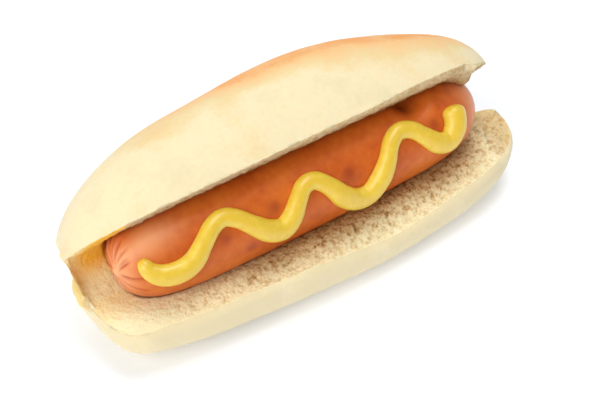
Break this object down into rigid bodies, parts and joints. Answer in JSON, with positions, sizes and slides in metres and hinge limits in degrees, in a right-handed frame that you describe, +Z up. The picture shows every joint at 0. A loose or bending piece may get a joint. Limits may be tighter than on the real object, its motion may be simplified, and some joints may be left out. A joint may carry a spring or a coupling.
{
  "type": "hot dog",
  "caption": "Hot dog: a frankfurter lying in a soft split roll that stays joined along its back, with a wavy line of mustard piped along the sausage.",
  "frame": {"origin": "under the middle of the whole object's box, on the surface that the roll rests on", "axes": "+X along the roll's length, -Y towards the side where the cut opens and the sausage shows, +Z up"},
  "size_m": [0.1698, 0.0672, 0.065],
  "materials": {
    "bread": "soft baked crust, pale cream with light browning on top, and a porous crumb where it is cut",
    "sausage_skin": "smooth satin frankfurter skin, reddish brown, with pleats at the ends",
    "mustard": "glossy wet yellow mustard"
  },
  "bodies": {
    "root": {"bun": "bread", "sausage": "sausage_skin", "mustard": "mustard"}
  },
  "joints": []
}
